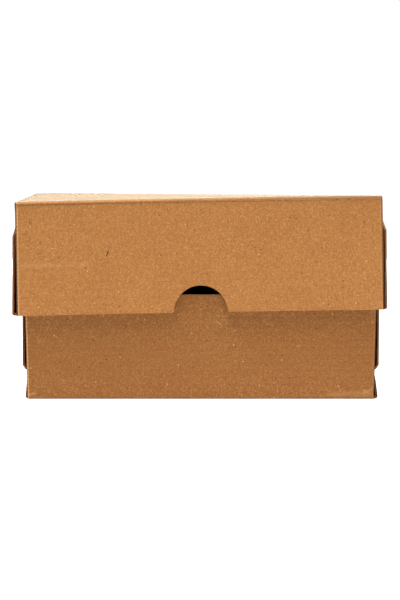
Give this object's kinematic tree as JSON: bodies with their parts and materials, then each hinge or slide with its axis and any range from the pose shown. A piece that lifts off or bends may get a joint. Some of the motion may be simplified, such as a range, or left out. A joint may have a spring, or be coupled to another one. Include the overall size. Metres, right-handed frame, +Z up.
{
  "type": "mailer box",
  "caption": "Flat corrugated board box: a folded tray with rolled-over end flaps and a deep lift-off lid with a half-round thumb notch.",
  "frame": {"origin": "middle of the whole box's footprint, on the surface it stands on", "axes": "+X along the wide front, +Y from the notched front to the back, +Z up out of the tray"},
  "size_m": [0.3292, 0.2348, 0.1787],
  "materials": {
    "base_tray_board": "uncoated kraft",
    "lid_board": "uncoated kraft"
  },
  "bodies": {
    "base": {"base_tray": "base_tray_board"},
    "lid": {"lid": "lid_board"}
  },
  "joints": [
    {"name": "lid_lift", "type": "slide", "parent": "base", "child": "lid", "axis": [-0.0175, 0, 0.9998], "range_m": [-0.071, 0.055]}
  ]
}
